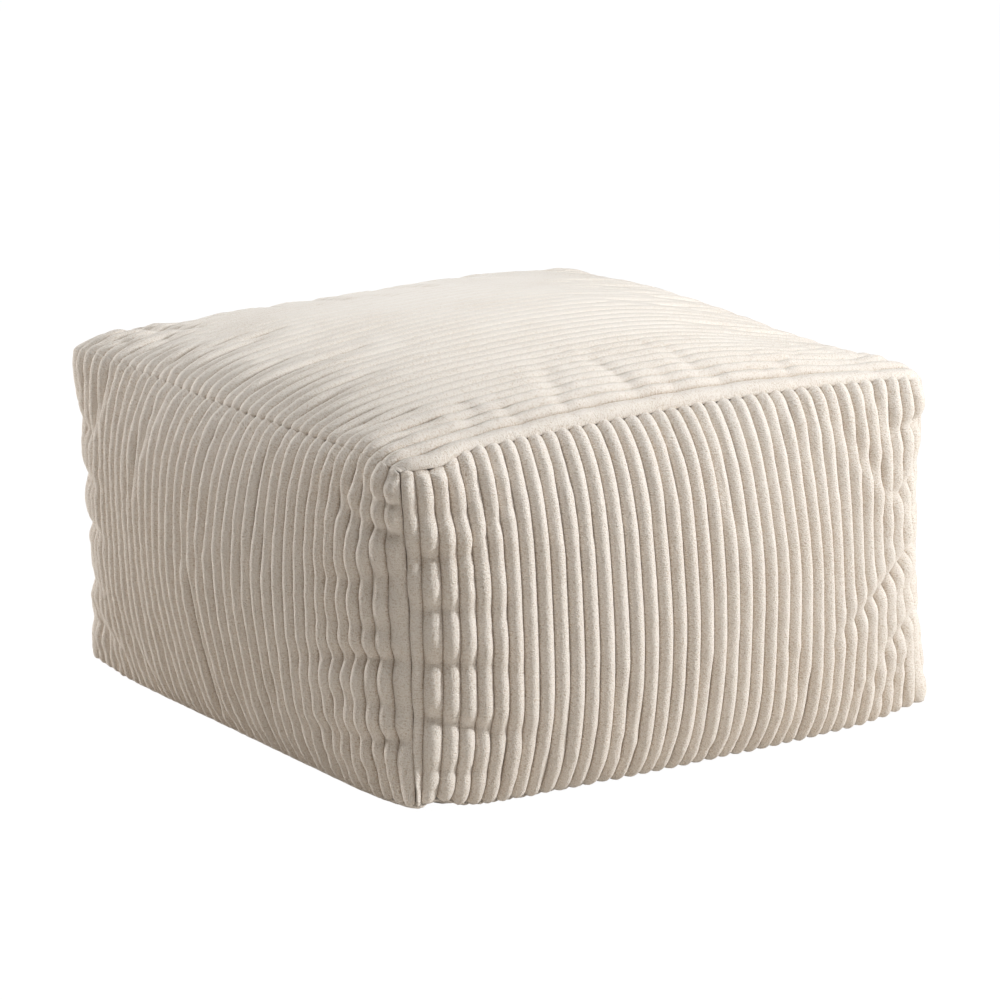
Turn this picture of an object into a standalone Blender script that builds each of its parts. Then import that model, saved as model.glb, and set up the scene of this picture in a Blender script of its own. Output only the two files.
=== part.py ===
"""Bean bag footstool: a square filled body in six panels of wide-wale corduroy, seams turned inward.

Metres, +Z up, the origin on the floor under the middle of the stool. The front panel faces -Y.
A depth is measured inwards from the seam surface, the form that the valleys of the corduroy follow.
"""

import math

import bmesh
import bpy
from mathutils import Vector

# The stuffed form, from seam to seam.
HALF_SIDE = 0.250
CORNER_HEIGHT = 0.281
BASE_SEAM_HEIGHT = 0.006
CROWN_HEIGHT = 0.043
CROWN_FULLNESS = 0.52
CROWN_SPREAD = 0.13
EDGE_DRAWN_IN = 0.0075
BASE_FLAT_SHARE = 0.80
BASE_EDGE_POWER = 2

# The stool leans a little. Its top corners stand out as ears with rounded tips, where the turned seams
# leave no room for filling, and its base corners lift off the floor.
LEAN = Vector((-0.009, 0.006, 0.0))
CENTRING = Vector((0.0031, -0.0017, 0.0))
EAR_OUT = 0.004
CORNER_REACH = 0.045
TIP_DRAWN_IN = 0.0045
TIP_REACH = 0.022
TIP_OUTWARD_SHARE = 0.7
CORNERS = (
    dict(name="front_left", x_sign=-1, y_sign=-1, top_lift=-0.0020, base_lift=0.0045),
    dict(name="front_right", x_sign=1, y_sign=-1, top_lift=0.0035, base_lift=0.0075),
    dict(name="back_right", x_sign=1, y_sign=1, top_lift=0.0053, base_lift=0.0090),
    dict(name="back_left", x_sign=-1, y_sign=1, top_lift=0.0001, base_lift=0.0050),
)

# Where the filling has sunk under the top, in the panel's own coordinates.
TOP_HOLLOWS = (
    dict(across=-0.72, along=0.70, depth=0.008, reach=0.24),
    dict(across=0.62, along=-0.58, depth=0.004, reach=0.26),
    dict(across=0.86, along=-0.52, depth=0.016, reach=0.34),
    dict(across=-0.14, along=0.80, depth=0.010, reach=0.34),
)

# The corduroy: 39 wales to a panel, about 13 mm from one to the next.
WALES = 39
WALE_HEIGHT = 0.0042
WALE_SHOULDERS = (0.27, 0.73)
CLOTH_GROUND = 0.0026
PIECE_GAP = 0.0004
SEAM_GAP = 0.00045

# The gathers that cross the wales beside each upright seam.
GATHER_DEPTH = 0.0022
GATHER_SPACING = 0.20
FIRST_GATHER = 0.12
GATHER_PLACE = 0.10
GATHER_REACH = 0.11

# Heights up a side panel and places along a wale of the top at which the cloth's face has a line of
# points, and the fewer ones of its lining side and of the filled body.
SIDE_LEVELS = (0.0, 0.02, 0.12, 0.22, 0.32, 0.42, 0.52, 0.62, 0.72, 0.82, 0.92, 0.98, 1.0)
TOP_STEPS = (-1.0, -0.97, -0.90, -0.80, -0.62, -0.42, -0.21, 0.0, 0.21, 0.42, 0.62, 0.80, 0.90, 0.97, 1.0)
LINING_LEVELS = (0.0, 0.12, 0.32, 0.52, 0.72, 0.92, 1.0)
LINING_STEPS = (-1.0, -0.90, -0.80, -0.42, 0.0, 0.42, 0.80, 0.90, 1.0)

# The step over which a form's slope is measured, and the distance at which the body's points are one.
SLOPE_STEP = 0.002
MERGE_DISTANCE = 0.00002

# turn: about +Z from the front. swell: how far the panel's ends turn out at half height, in degrees.
# fullness and lift shape the swelling up the panel. rise: of the top seam's middle, over its corners,
# and skew moves it to one side. foot: the rise of the base seam's middle.
SIDES = (
    dict(name="front_panel", turn=0, swell=25.6, fullness=0.66, lift=0.92, rise=0.009, skew=0.5, foot=0.0),
    dict(name="right_panel", turn=90, swell=24.0, fullness=0.72, lift=1.05, rise=-0.0006, skew=0.0, foot=0.0),
    dict(name="back_panel", turn=180, swell=24.5, fullness=0.70, lift=1.00, rise=-0.0027, skew=0.0, foot=0.0),
    dict(name="left_panel", turn=270, swell=22.5, fullness=0.74, lift=1.08, rise=-0.005, skew=0.0, foot=0.0065),
)
TOP_SEAM_SWELL = 1.5
BASE_SEAM_SWELL = 4.0

# How far the filling rounds a side out beside its upright seams, and how far from a seam it does so most.
SEAM_FULLNESS = 0.0075
SEAM_FULLNESS_PLACE = 0.034

CREAM = (0.74, 0.66, 0.56, 1.0)
CREAM_TOP = (0.80, 0.73, 0.63, 1.0)
CREAM_BASE = (0.66, 0.58, 0.48, 1.0)
LINING_CREAM = (0.58, 0.50, 0.41, 1.0)


def fullness_at(up, side):
    """0 at the seams, 1 where the panel swells most."""
    share = up ** side["lift"]
    return max(4.0 * share * (1.0 - share), 0.0) ** side["fullness"]


def seam_fullness(across, up):
    """How far a side stands out beside its upright seams, where its cloth turns into the next side."""
    from_seam = (1.0 - min(abs(across), 1.0)) * HALF_SIDE / SEAM_FULLNESS_PLACE
    fade = math.sqrt(max(math.sin(math.pi * min(max(up, 0.0), 1.0)), 0.0))
    return SEAM_FULLNESS * from_seam * math.exp(1.0 - from_seam) * fade


def half_width(up):
    """Half the side at this share of the height, drawn in between the corners."""
    return HALF_SIDE - EDGE_DRAWN_IN * 4.0 * up * (1.0 - up)


def soften(point):
    """Leans the stool, shapes its top corners, lifts its base corners and centres its box."""
    moved = point + LEAN * max(point.z, 0.0) / CORNER_HEIGHT + CENTRING
    for corner in CORNERS:
        outward = Vector((corner["x_sign"], corner["y_sign"], 0.0))
        upward = Vector((0.0, 0.0, 1.0))
        from_top = (point - HALF_SIDE * outward - CORNER_HEIGHT * upward).length
        from_base = (point - HALF_SIDE * outward).length
        near_top = math.exp(-((from_top / CORNER_REACH) ** 2))
        near_base = math.exp(-((from_base / CORNER_REACH) ** 2))
        near_tip = math.exp(-((from_top / TIP_REACH) ** 2))
        moved += EAR_OUT * near_top * outward
        moved += (corner["top_lift"] * near_top + corner["base_lift"] * near_base) * upward
        moved -= TIP_DRAWN_IN * near_tip * (TIP_OUTWARD_SHARE * outward + upward)
    return moved


def side_form(side, across, up, depth):
    """A side of the stuffed form. across is -1 to 1 from left to right seen from outside, up is 0 to 1."""
    half = half_width(up) - depth
    seam_swell = BASE_SEAM_SWELL + (TOP_SEAM_SWELL - BASE_SEAM_SWELL) * up
    swell = math.radians(seam_swell + (side["swell"] - seam_swell) * fullness_at(up, side))
    along = half * math.sin(swell * across) / math.sin(swell)
    out = half + half * (math.cos(swell * across) - math.cos(swell)) / math.sin(swell)
    out += seam_fullness(across, up)
    foot = BASE_SEAM_HEIGHT + side["foot"] * (1.0 - across**2) + depth
    rise = side["rise"] * (1.0 - across**2) * (1.0 + side["skew"] * across) * up
    height = foot + (CORNER_HEIGHT - depth - foot) * up + rise
    turn = math.radians(side["turn"])
    x = along * math.cos(turn) + out * math.sin(turn)
    y = along * math.sin(turn) - out * math.cos(turn)
    return Vector((x, y, height))


def between_seams(across, along, up, depth):
    """The smooth sheet between the four side panels' seams at the top (up 1) or the base (up 0)."""
    front, right, back, left = SIDES
    from_left = (across + 1.0) / 2.0
    from_front = (along + 1.0) / 2.0
    front_seam = side_form(front, across, up, depth)
    back_seam = side_form(back, -across, up, depth)
    left_seam = side_form(left, -along, up, depth)
    right_seam = side_form(right, along, up, depth)
    lofted = front_seam.lerp(back_seam, from_front) + left_seam.lerp(right_seam, from_left)
    front_corners = side_form(front, -1.0, up, depth).lerp(side_form(front, 1.0, up, depth), from_left)
    back_corners = side_form(back, 1.0, up, depth).lerp(side_form(back, -1.0, up, depth), from_left)
    return lofted - front_corners.lerp(back_corners, from_front)


def top_form(across, along, depth):
    """The crowned top. Both run from -1 to 1: across along +X, along along +Y."""
    from_seams = max((1.0 - across**2) * (1.0 - along**2), 0.0)
    spread = along * (1.0 + CROWN_SPREAD * from_seams)
    sheet = between_seams(across, spread, 1.0, depth)
    height = CROWN_HEIGHT * from_seams**CROWN_FULLNESS
    for hollow in TOP_HOLLOWS:
        away = math.hypot(across - hollow["across"], along - hollow["along"])
        height -= hollow["depth"] * math.exp(-((away / hollow["reach"]) ** 2)) * math.sqrt(from_seams)
    return sheet + Vector((0.0, 0.0, height))


def base_form(across, along, depth):
    """The base: flat on the floor, and turned up to its seam round the edge. along runs along -Y."""
    sheet = between_seams(across, -along, 0.0, depth)
    past_flat = max(abs(across), abs(along), BASE_FLAT_SHARE) - BASE_FLAT_SHARE
    turned_up = (past_flat / (1.0 - BASE_FLAT_SHARE)) ** BASE_EDGE_POWER
    sheet.z = depth + (sheet.z - depth) * turned_up
    return sheet


def seam_share(value):
    """Draws a panel's coordinate in by half of the gap that parts it from its neighbour."""
    return value * (1.0 - SEAM_GAP / HALF_SIDE)


def gather(across, up):
    """How far the cloth stands out or in beside an upright seam, whose stitches gather it."""
    from_seam = 1.0 - abs(across)
    fade = math.exp(-(((from_seam - GATHER_PLACE) / GATHER_REACH) ** 2)) * math.sin(math.pi * up)
    return -GATHER_DEPTH * fade * math.cos(2.0 * math.pi * (up - FIRST_GATHER) / GATHER_SPACING)


def wale_lines():
    """(place across the panel, height share) of the lines that draw the wales: a valley and two shoulders."""
    lines = []
    for wale in range(WALES):
        lines.append((wale / WALES, 0.0))
        for shoulder in WALE_SHOULDERS:
            lines.append(((wale + shoulder) / WALES, 1.0))
    lines.append((1.0, 0.0))
    return [(2.0 * place - 1.0, height) for place, height in lines]


def outwards(form, u, v):
    """The direction that faces out of a form at one of its points."""
    along_u = form(u + SLOPE_STEP, v) - form(u - SLOPE_STEP, v)
    along_v = form(u, v + SLOPE_STEP) - form(u, v - SLOPE_STEP)
    return along_u.cross(along_v).normalized()


def add_surface(mesh, columns, rows, place):
    """A grid whose point for each column and row is placed by a function. Returns its lines of points."""
    steps = (len(columns) - 1, len(rows) - 1)
    grid = bmesh.ops.create_grid(mesh, x_segments=steps[0], y_segments=steps[1], size=1.0)
    points = grid["verts"]
    lines = [points[start : start + len(columns)] for start in range(0, len(points), len(columns))]
    for row, line in zip(rows, lines):
        for column, point in zip(columns, line):
            point.co = place(column, row)
    return lines


def border(lines):
    """The four edges of a grid as chains that follow each other round it."""
    right = [line[-1] for line in lines]
    left = [line[0] for line in lines]
    return lines[0], right, lines[-1][::-1], left[::-1]


def join_chains(mesh, outer, inner):
    """Faces between two chains of points that have different steps."""
    here, there = 0, 0
    while here < len(outer) - 1 or there < len(inner) - 1:
        outer_share = (here + 1) / (len(outer) - 1)
        inner_share = (there + 1) / (len(inner) - 1)
        if outer_share <= inner_share:
            mesh.faces.new((outer[here], inner[there], outer[here + 1]))
            here += 1
        else:
            mesh.faces.new((outer[here], inner[there], inner[there + 1]))
            there += 1


def cloth_material(name, colour):
    material = bpy.data.materials.new(name)
    material.use_nodes = True
    shader = material.node_tree.nodes["Principled BSDF"]
    shader.inputs["Base Color"].default_value = colour
    shader.inputs["Roughness"].default_value = 0.92
    shader.inputs["Metallic"].default_value = 0.0
    return material


def finish_object(mesh, name, colour, collection):
    data = bpy.data.meshes.new(name)
    mesh.to_mesh(data)
    mesh.free()
    data.shade_smooth()
    data.materials.append(cloth_material(name + "_cloth", colour))
    collection.objects.link(bpy.data.objects.new(name, data))


def make_panel(name, colour, collection, form, face, lining):
    """A cut of cloth: its face and its lining side, each (columns, rows), joined round the border.

    form(u, v, depth) is the panel's form. face_height(u, v) lifts the face.
    """
    columns, rows, face_height = face

    def seam_surface(u, v):
        return soften(form(u, v, 0.0))

    def face_point(u, v):
        lifted = face_height(u, v)
        point = seam_surface(u, v)
        return point + lifted * outwards(seam_surface, u, v) if lifted else point

    mesh = bmesh.new()
    outer = add_surface(mesh, columns, rows, face_point)
    face_count = len(mesh.faces)
    inner = add_surface(mesh, lining[0], lining[1], lambda u, v: soften(form(u, v, CLOTH_GROUND)))
    mesh.faces.ensure_lookup_table()
    bmesh.ops.reverse_faces(mesh, faces=mesh.faces[face_count:])
    for outer_chain, inner_chain in zip(border(outer), border(inner)):
        join_chains(mesh, outer_chain, inner_chain)
    finish_object(mesh, name, colour, collection)


def make_side_panel(side, collection):
    heights = dict(wale_lines())

    def form(across, up, depth):
        return side_form(side, seam_share(across), 0.5 + seam_share(2.0 * up - 1.0) / 2.0, depth)

    def face_height(across, up):
        if up in (0.0, 1.0) or abs(across) == 1.0:
            return 0.0
        return WALE_HEIGHT * heights[across] + gather(across, up)

    face = (list(heights), SIDE_LEVELS, face_height)
    make_panel(side["name"], CREAM, collection, form, face, (LINING_STEPS, LINING_LEVELS))


def make_top_panel(collection):
    heights = dict(wale_lines())

    def form(across, along, depth):
        return top_form(seam_share(across), seam_share(along), depth)

    def face_height(across, along):
        return 0.0 if abs(across) == 1.0 else WALE_HEIGHT * heights[along]

    face = (TOP_STEPS, list(heights), face_height)
    make_panel("top_panel", CREAM_TOP, collection, form, face, (LINING_STEPS, LINING_STEPS))


def make_base_panel(collection):
    """The base lies with its wales pressed flat, so its face is plain."""

    def form(across, along, depth):
        return base_form(seam_share(across), seam_share(along), depth)

    face = (TOP_STEPS, TOP_STEPS, lambda across, along: 0.0)
    make_panel("base_panel", CREAM_BASE, collection, form, face, (LINING_STEPS, LINING_STEPS))


def make_filled_body(collection):
    """The body that the filling pushes into shape, just inside the panels."""
    depth = CLOTH_GROUND + PIECE_GAP
    mesh = bmesh.new()
    for side in SIDES:
        place = lambda across, up, side=side: soften(side_form(side, across, up, depth))
        add_surface(mesh, LINING_STEPS, LINING_LEVELS, place)
    for form in (top_form, base_form):
        place = lambda across, along, form=form: soften(form(across, along, depth))
        add_surface(mesh, LINING_STEPS, LINING_STEPS, place)
    bmesh.ops.remove_doubles(mesh, verts=mesh.verts, dist=MERGE_DISTANCE)
    finish_object(mesh, "filled_body", LINING_CREAM, collection)


def main():
    for thing in list(bpy.data.objects):
        bpy.data.objects.remove(thing)
    collection = bpy.data.collections.new("bean_bag_footstool")
    bpy.context.scene.collection.children.link(collection)
    make_filled_body(collection)
    make_top_panel(collection)
    make_base_panel(collection)
    for side in SIDES:
        make_side_panel(side, collection)


main()
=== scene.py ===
# %% [markdown]
# # A bean bag footstool in wide-wale corduroy
#
# The real stool is a soft block: six panels of corduroy, sewn edge to edge with the seams turned inwards,
# over a bag of light beads. The beads push each panel out until it is tight, so it is round in the middle
# and drawn in at the seams.
#
# This lesson dresses a finished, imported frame. Each of its panels is replaced by one of the same form, with
# raised wales, gathers beside the seams, and a pile that catches the light.

# %% Load the frame
import math
from functools import partial

import bpy
import numpy as np
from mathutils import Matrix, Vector


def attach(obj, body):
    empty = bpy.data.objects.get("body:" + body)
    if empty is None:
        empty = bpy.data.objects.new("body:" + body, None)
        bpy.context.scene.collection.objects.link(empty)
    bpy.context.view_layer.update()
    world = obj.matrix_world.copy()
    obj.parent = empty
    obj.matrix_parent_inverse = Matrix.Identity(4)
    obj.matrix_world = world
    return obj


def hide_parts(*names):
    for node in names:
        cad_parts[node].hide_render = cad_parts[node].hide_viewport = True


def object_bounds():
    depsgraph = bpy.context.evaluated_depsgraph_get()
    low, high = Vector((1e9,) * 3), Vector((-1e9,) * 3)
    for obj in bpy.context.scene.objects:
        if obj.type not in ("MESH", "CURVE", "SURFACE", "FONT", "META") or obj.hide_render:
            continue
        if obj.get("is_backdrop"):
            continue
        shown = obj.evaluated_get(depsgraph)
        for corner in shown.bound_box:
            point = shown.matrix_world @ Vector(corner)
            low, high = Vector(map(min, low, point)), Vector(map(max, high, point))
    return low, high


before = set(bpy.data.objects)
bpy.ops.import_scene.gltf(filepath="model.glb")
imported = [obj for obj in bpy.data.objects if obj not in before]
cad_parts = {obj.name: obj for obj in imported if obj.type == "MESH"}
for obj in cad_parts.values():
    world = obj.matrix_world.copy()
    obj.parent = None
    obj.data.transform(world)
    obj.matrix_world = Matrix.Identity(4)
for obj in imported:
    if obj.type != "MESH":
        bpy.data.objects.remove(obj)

cad_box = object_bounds()
print("frame nodes:", ", ".join(sorted(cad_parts)))
print("frame box:", [[round(x, 4) for x in corner] for corner in cad_box])

# %% [markdown]
# ## The camera
#
# A long lens a few metres away keeps the upright seams nearly parallel. The camera is placed by its
# bearing and its height above the horizon.

# %% Camera
CAMERA_TARGET = Vector((0.0031, -0.0017, 0.150))
CAMERA_BEARING = dict(azimuth=-34.03, elevation=14.67, distance=3.927)
CAMERA_LENS = 169.8
CAMERA_SHIFT = (-0.0037, 0.0160)


def put_in_scene(name, data):
    made = bpy.data.objects.new(name, data)
    bpy.context.scene.collection.objects.link(made)
    return made


def set_up(thing, settings):
    for key, value in settings.items():
        setattr(thing, key, value)


def face_stool(thing, azimuth, elevation, distance):
    """Puts a camera or lamp at a bearing in degrees, facing the stool. Azimuth 0 is in front, at -Y."""
    azimuth, elevation = math.radians(azimuth), math.radians(elevation)
    flat = math.cos(elevation)
    away = Vector((math.sin(azimuth) * flat, -math.cos(azimuth) * flat, math.sin(elevation)))
    thing.location = CAMERA_TARGET + distance * away
    thing.rotation_mode = "QUATERNION"
    thing.rotation_quaternion = (-away).to_track_quat("-Z", "Y")


def make_camera():
    lens = bpy.data.cameras.new("camera")
    lens.lens = CAMERA_LENS
    lens.shift_x, lens.shift_y = CAMERA_SHIFT
    camera = put_in_scene("camera", lens)
    face_stool(camera, **CAMERA_BEARING)
    bpy.context.scene.camera = camera
    return camera


print("camera at", [round(x, 2) for x in make_camera().location])

# %% [markdown]
# ## The sizes of the stuffed form
#
# Everything follows from a few sizes: half the side from seam to seam, the height of the corners, and how
# far each panel swells. A depth is measured inwards from the form that the valleys of the corduroy follow.
# The values are those of the frame's solids, so a dressed panel lies exactly where its solid does.
#
# A row of SIDES gives a side's turn and the half angle of its fullest arc in degrees, how soon (fullness)
# and how high up (lift) the arc is full, and how far its upper (rise, skew) and lower edge (foot) bow up.

# %% Sizes of the form
HALF_SIDE = 0.250
CORNER_HEIGHT = 0.281
BASE_SEAM_HEIGHT = 0.006
CROWN_HEIGHT = 0.043
CROWN_FULLNESS = 0.52
CROWN_SPREAD = 0.13
EDGE_DRAWN_IN = 0.0075
BASE_FLAT_SHARE = 0.80
BASE_EDGE_POWER = 2
TOP_SEAM_SWELL = 1.5
BASE_SEAM_SWELL = 4.0
SEAM_FULLNESS = 0.0075
SEAM_FULLNESS_PLACE = 0.034
LEAN = np.array((-0.009, 0.006, 0.0))
CENTRING = np.array((0.0031, -0.0017, 0.0))
EAR_OUT = 0.004
CORNER_REACH = 0.045
TIP_DRAWN_IN = 0.0045
TIP_REACH = 0.022
TIP_OUTWARD_SHARE = 0.7
CORNERS = (
    dict(outward=(-1, -1, 0), top_lift=-0.0020, base_lift=0.0045),
    dict(outward=(1, -1, 0), top_lift=0.0035, base_lift=0.0075),
    dict(outward=(1, 1, 0), top_lift=0.0053, base_lift=0.0090),
    dict(outward=(-1, 1, 0), top_lift=0.0001, base_lift=0.0050),
)
TOP_HOLLOWS = (
    dict(across=-0.72, along=0.70, depth=0.008, reach=0.24),
    dict(across=0.62, along=-0.58, depth=0.004, reach=0.26),
    dict(across=0.86, along=-0.52, depth=0.016, reach=0.34),
    dict(across=-0.14, along=0.80, depth=0.010, reach=0.34),
)
SIDES = (
    dict(name="front_panel", turn=0, swell=25.6, fullness=0.66, lift=0.92, rise=0.009, skew=0.5, foot=0),
    dict(name="right_panel", turn=90, swell=24.0, fullness=0.72, lift=1.05, rise=-0.0006, skew=0, foot=0),
    dict(name="back_panel", turn=180, swell=24.5, fullness=0.70, lift=1.00, rise=-0.0027, skew=0, foot=0),
    dict(name="left_panel", turn=270, swell=22.5, fullness=0.74, lift=1.08, rise=-0.005, skew=0, foot=0.0065),
)

# %% [markdown]
# ## The form as functions
#
# A stuffed panel could be blown up by simulation alone, but then nobody decides where it ends up. Here the
# form is written down first, as functions that take whole grids of places at once. A side panel is an arc
# in every level section, and the arc is fullest half way up. The top is a smooth sheet stretched between
# the four top seams, with a crown added.


# %% Functions of the form
def points_of(x, y, z):
    return np.stack(np.broadcast_arrays(x, y, z), axis=-1).astype(float)


def mix(start, end, share):
    return start * (1 - share) + end * share


def lengths(vectors):
    return np.linalg.norm(vectors, axis=-1)


def near(away, reach):
    """1 where away is 0, fading to almost nothing at twice the reach."""
    return np.exp(-((away / reach) ** 2))


def seam_fullness(across, up):
    """How far a side stands out beside its upright seams, where its cloth turns into the next side."""
    from_seam = (1 - np.minimum(abs(across), 1)) * HALF_SIDE / SEAM_FULLNESS_PLACE
    fade = np.sqrt(np.maximum(np.sin(np.pi * np.clip(up, 0, 1)), 0))
    return SEAM_FULLNESS * from_seam * np.exp(1 - from_seam) * fade


def side_form(side, across, up, depth=0):
    """A side of the stuffed form. across is -1 to 1 from left to right seen from outside, up is 0 to 1."""
    half = HALF_SIDE - EDGE_DRAWN_IN * 4 * up * (1 - up) - depth
    share = np.maximum(up, 0) ** side["lift"]
    fullness = np.maximum(4 * share * (1 - share), 0) ** side["fullness"]
    seam_swell = mix(BASE_SEAM_SWELL, TOP_SEAM_SWELL, up)
    swell = np.radians(mix(seam_swell, side["swell"], fullness))
    along = half * np.sin(swell * across) / np.sin(swell)
    out = half + half * (np.cos(swell * across) - np.cos(swell)) / np.sin(swell)
    out = out + seam_fullness(across, up)
    foot = BASE_SEAM_HEIGHT + side["foot"] * (1 - across**2) + depth
    rise = side["rise"] * (1 - across**2) * (1 + side["skew"] * across) * up
    turn = math.radians(side["turn"])
    x = along * math.cos(turn) + out * math.sin(turn)
    y = along * math.sin(turn) - out * math.cos(turn)
    return points_of(x, y, mix(foot, CORNER_HEIGHT - depth, up) + rise)


def between_seams(across, along, level, depth=0):
    """The smooth sheet between the side panels' seams at the top (level 1) or the base (level 0)."""
    front, right, back, left = SIDES
    across, along = np.broadcast_arrays(across, along)
    up = np.full(across.shape, float(level))
    end = np.ones_like(up)
    from_left = ((across + 1) / 2)[..., None]
    from_front = ((along + 1) / 2)[..., None]

    def seam(side, place):
        return side_form(side, place, up, depth)

    front_to_back = mix(seam(front, across), seam(back, -across), from_front)
    left_to_right = mix(seam(left, -along), seam(right, along), from_left)
    front_corners = mix(seam(front, -end), seam(front, end), from_left)
    back_corners = mix(seam(back, end), seam(back, -end), from_left)
    return front_to_back + left_to_right - mix(front_corners, back_corners, from_front)


def top_form(across, along, depth=0):
    """The crowned top. across runs along +X and along runs along +Y, both from -1 to 1."""
    from_seams = np.maximum((1 - across**2) * (1 - along**2), 0)
    sheet = between_seams(across, along * (1 + CROWN_SPREAD * from_seams), 1, depth)
    height = CROWN_HEIGHT * from_seams**CROWN_FULLNESS
    for hollow in TOP_HOLLOWS:
        away = np.hypot(across - hollow["across"], along - hollow["along"])
        height -= hollow["depth"] * near(away, hollow["reach"]) * np.sqrt(from_seams)
    sheet[..., 2] += height
    return sheet


def base_form(across, along, depth=0):
    """The base: flat on the floor, and turned up to its seam round the edge. along runs along -Y."""
    sheet = between_seams(across, -along, 0, depth)
    past_flat = np.maximum(np.maximum(abs(across), abs(along)), BASE_FLAT_SHARE) - BASE_FLAT_SHARE
    turned_up = (past_flat / (1 - BASE_FLAT_SHARE)) ** BASE_EDGE_POWER
    sheet[..., 2] = depth + (sheet[..., 2] - depth) * turned_up
    return sheet


def soften(points):
    """Leans the stool, draws out its top corners and rounds their tips, and lifts its base corners."""
    moved = points + LEAN * np.maximum(points[..., 2:], 0) / CORNER_HEIGHT + CENTRING
    for corner in CORNERS:
        outward, upward = np.array(corner["outward"], dtype=float), np.array((0, 0, 1))
        from_top = lengths(points - HALF_SIDE * outward - CORNER_HEIGHT * upward)
        from_base = lengths(points - HALF_SIDE * outward)
        near_top, near_base = near(from_top, CORNER_REACH), near(from_base, CORNER_REACH)
        near_tip = near(from_top, TIP_REACH)
        moved += EAR_OUT * near_top[..., None] * outward
        moved[..., 2] += corner["top_lift"] * near_top + corner["base_lift"] * near_base
        moved -= TIP_DRAWN_IN * near_tip[..., None] * (TIP_OUTWARD_SHARE * outward + upward)
    return moved


# %% [markdown]
# ## Where hands have pushed it about
#
# A stool like this never stands exactly as it was sewn. At the near corner the top's edge sags over the
# front panel, and below it the front's seam has ridden up, so the base peeps out. Each row moves the cloth
# round one place by a vector. All the panels that meet there move together, so the seams stay closed.

# %% Pushes
PUSHES = (
    dict(place=(-0.226, -0.249, 0.279), reach=0.018, move=(0.000, -0.0030, -0.0055)),
    dict(place=(-0.228, -0.252, 0.009), reach=0.015, move=(0.000, 0.0000, 0.0055)),
)


def settled(points):
    """The softened form, pushed about."""
    moved = soften(points)
    for push in PUSHES:
        share = near(lengths(moved - push["place"]), push["reach"])
        moved = moved + share[..., None] * np.array(push["move"])
    return moved


# %% [markdown]
# ## One description for all six panels
#
# Every panel is a piece of cloth with its wales in one direction. So each gets the same facts: its form,
# which of its two coordinates crosses the wales, and half its width and length for scale. On the sides the
# wales run up. On the top they run from left to right, and on the base from front to back.

# %% The panels
WALES = 39
WALE_HEIGHT = 0.0057
SEAM_GAP = 0.00045
CLOTH_GROUND = 0.0026
FLAT_PANELS = ("top_panel", "base_panel")
SIDE_SIZE = (0.270, 0.145)
FLAT_SIZE = (0.262, 0.262)
SEAM_SHARE = 1 - SEAM_GAP / HALF_SIDE


def describe(name, form, wales_cross, size):
    """A panel's facts. u and v from -1 to 1 reach to within half of the gap beside its neighbours."""

    def settled_form(u, v, depth=0):
        return settled(form(u * SEAM_SHARE, v * SEAM_SHARE, depth))

    return dict(name=name, form=settled_form, wales_cross=wales_cross, size=size)


def side_panel(side):
    def form(u, v, depth):
        return side_form(side, u, 0.5 + v / 2, depth)

    return describe(side["name"], form, "u", SIDE_SIZE)


PANELS = {side["name"]: side_panel(side) for side in SIDES}
PANELS["top_panel"] = describe("top_panel", top_form, "v", FLAT_SIZE)
PANELS["base_panel"] = describe("base_panel", base_form, "u", FLAT_SIZE)
print("panels:", ", ".join(PANELS))

# %% [markdown]
# ## Gathers and creases
#
# Where two panels are sewn, the thread takes up a little of the cloth, so the cloth beside the seam has
# more length than the seam itself and buckles into short waves across the wales. Where the beads have
# slumped, a longer crease runs in from the seam. These are what make the stool look soft.
#
# Each crease is a short line on its panel with a trough along it and a puffed-up shoulder on both sides.
# A row gives its two ends in the panel's own coordinates (u to the right, v upwards, both from -1 to 1,
# seen from outside), its depth and half width in metres, and how much it pinches the wales in its trough,
# so that they look like knuckles beside a seam. A crease fades towards its second end.

# %% Creases
SHOULDER_HEIGHT = 0.75
SHOULDER_SPREAD = 5
CREASES = dict(
    front_panel=(
        ((-0.98, 0.72), (-0.70, 0.64), 0.0040, 0.0115, 0.12),
        ((-0.99, 0.47), (-0.66, 0.38), 0.0046, 0.0125, 0.12),
        ((-0.99, 0.18), (-0.62, 0.06), 0.0040, 0.0120, 0.10),
        ((-0.97, -0.15), (-0.62, -0.26), 0.0050, 0.0120, 0.14),
        ((-0.97, -0.47), (-0.54, -0.66), 0.0062, 0.0105, 0.20),
        ((-0.96, -0.79), (-0.70, -0.84), 0.0036, 0.0095, 0.10),
        ((0.99, 0.06), (0.46, -0.48), 0.0105, 0.0085, 0.10),
        ((1.02, -0.32), (0.70, -0.62), 0.0070, 0.0080, 0.10),
        ((1.00, 0.50), (0.74, 0.20), 0.0060, 0.0085, 0.10),
        ((1.02, 0.76), (0.84, 0.73), 0.0070, 0.0080, 0.20),
    ),
    left_panel=(
        ((0.99, 0.60), (0.64, 0.74), 0.0050, 0.0105, 0.15),
        ((1.00, 0.34), (0.52, 0.20), 0.0062, 0.0120, 0.10),
        ((1.00, 0.06), (0.62, -0.02), 0.0030, 0.0100, 0.08),
        ((1.00, -0.13), (0.42, -0.30), 0.0066, 0.0120, 0.10),
        ((1.00, -0.40), (0.52, -0.50), 0.0030, 0.0100, 0.08),
        ((1.00, -0.62), (0.38, -0.74), 0.0064, 0.0120, 0.10),
    ),
    top_panel=(
        ((-1.02, 0.46), (-0.62, 0.30), 0.0045, 0.0090, 0.10),
        ((-0.84, 1.00), (-0.66, 0.62), 0.0050, 0.0110, 0.10),
        ((-0.99, -0.86), (-0.60, -0.80), 0.0036, 0.0080, 0.10),
        ((0.97, -0.90), (0.66, -0.62), 0.0045, 0.0090, 0.10),
    ),
)


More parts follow.
